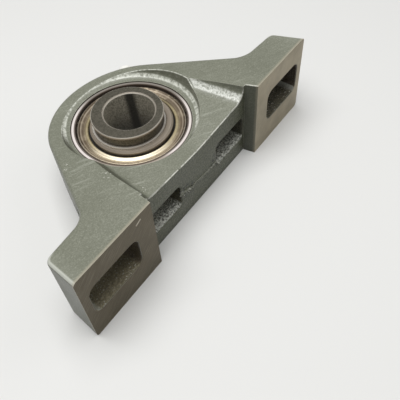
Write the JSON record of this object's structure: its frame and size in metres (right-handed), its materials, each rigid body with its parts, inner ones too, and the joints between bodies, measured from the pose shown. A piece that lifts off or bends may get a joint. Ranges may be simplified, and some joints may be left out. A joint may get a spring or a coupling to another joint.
{
  "type": "pillow block bearing",
  "caption": "Cast two-foot pillow block holding a sealed self-aligning ball insert with an eccentric locking cam for a round shaft.",
  "frame": {"origin": "centre of the ball insert, on the shaft's axis, midway between the faces of the outer ring", "axes": "+Z along the shaft towards the cam, X along the base, and the milled feet look towards -Y"},
  "size_m": [0.1412, 0.0723, 0.0381],
  "materials": {
    "cast_paint": "satin grey-green paint over rough cast iron, bare iron on the milled feet",
    "ring_steel": "ground",
    "inner_ring_steel": "dark, turned",
    "ball_steel": "polished",
    "cage_steel": "pressed",
    "shroud_steel": "pressed, yellow passivated",
    "seal_rubber": "matt",
    "fitting_steel": "zinc plated",
    "cap_plastic": "matt"
  },
  "bodies": {
    "housing": {"housing": "cast_paint", "grease_fitting": "fitting_steel"},
    "cap": {"fitting_cap": "cap_plastic"},
    "insert": {"outer_ring": "ring_steel", "shroud_upper": "shroud_steel", "seal_upper": "seal_rubber", "shroud_lower": "shroud_steel", "seal_lower": "seal_rubber"},
    "shaft": {"inner_ring": "inner_ring_steel"},
    "cage": {"cage_upper": "cage_steel", "cage_lower": "cage_steel", "cage_rivets": "cage_steel"},
    "ball_1": {"ball_1": "ball_steel"},
    "ball_2": {"ball_2": "ball_steel"},
    "ball_3": {"ball_3": "ball_steel"},
    "ball_4": {"ball_4": "ball_steel"},
    "ball_5": {"ball_5": "ball_steel"},
    "ball_6": {"ball_6": "ball_steel"},
    "ball_7": {"ball_7": "ball_steel"},
    "ball_8": {"ball_8": "ball_steel"},
    "ball_9": {"ball_9": "ball_steel"}
  },
  "joints": [
    {"name": "insert_tilt", "type": "hinge", "parent": "housing", "child": "insert", "pos_m": [0, 0, 0], "axis": [1, 0, 0], "range_deg": [-2, 2]},
    {"name": "shaft_spin", "type": "hinge", "parent": "insert", "child": "shaft", "pos_m": [0, 0, 0], "axis": [0, 0, 1], "continuous": true},
    {"name": "cage_orbit", "type": "hinge", "parent": "insert", "child": "cage", "pos_m": [0, 0, 0], "axis": [0, 0, 1], "continuous": true},
    {"name": "cap_pull", "type": "slide", "parent": "housing", "child": "cap", "axis": [0.7071, 0.7071, 0], "range_m": [0, 0.015]},
    {"name": "ball_1_spin", "type": "hinge", "parent": "cage", "child": "ball_1", "pos_m": [0.0195, 0, 0], "axis": [0, 0, 1], "continuous": true},
    {"name": "ball_2_spin", "type": "hinge", "parent": "cage", "child": "ball_2", "pos_m": [0.01494, 0.01253, 0], "axis": [0, 0, 1], "continuous": true},
    {"name": "ball_3_spin", "type": "hinge", "parent": "cage", "child": "ball_3", "pos_m": [0.00339, 0.0192, 0], "axis": [0, 0, 1], "continuous": true},
    {"name": "ball_4_spin", "type": "hinge", "parent": "cage", "child": "ball_4", "pos_m": [-0.00975, 0.01689, 0], "axis": [0, 0, 1], "continuous": true},
    {"name": "ball_5_spin", "type": "hinge", "parent": "cage", "child": "ball_5", "pos_m": [-0.01832, 0.00667, 0], "axis": [0, 0, 1], "continuous": true},
    {"name": "ball_6_spin", "type": "hinge", "parent": "cage", "child": "ball_6", "pos_m": [-0.01832, -0.00667, 0], "axis": [0, 0, 1], "continuous": true},
    {"name": "ball_7_spin", "type": "hinge", "parent": "cage", "child": "ball_7", "pos_m": [-0.00975, -0.01689, 0], "axis": [0, 0, 1], "continuous": true},
    {"name": "ball_8_spin", "type": "hinge", "parent": "cage", "child": "ball_8", "pos_m": [0.00339, -0.0192, 0], "axis": [0, 0, 1], "continuous": true},
    {"name": "ball_9_spin", "type": "hinge", "parent": "cage", "child": "ball_9", "pos_m": [0.01494, -0.01253, 0], "axis": [0, 0, 1], "continuous": true}
  ],
  "couplings": [
    {"joint": "cage_orbit", "follows": "shaft_spin", "ratio": 0.39823},
    {"joint": "ball_1_spin", "follows": "shaft_spin", "ratio": -2.3548},
    {"joint": "ball_2_spin", "follows": "shaft_spin", "ratio": -2.3548},
    {"joint": "ball_3_spin", "follows": "shaft_spin", "ratio": -2.3548},
    {"joint": "ball_4_spin", "follows": "shaft_spin", "ratio": -2.3548},
    {"joint": "ball_5_spin", "follows": "shaft_spin", "ratio": -2.3548},
    {"joint": "ball_6_spin", "follows": "shaft_spin", "ratio": -2.3548},
    {"joint": "ball_7_spin", "follows": "shaft_spin", "ratio": -2.3548},
    {"joint": "ball_8_spin", "follows": "shaft_spin", "ratio": -2.3548},
    {"joint": "ball_9_spin", "follows": "shaft_spin", "ratio": -2.3548}
  ]
}
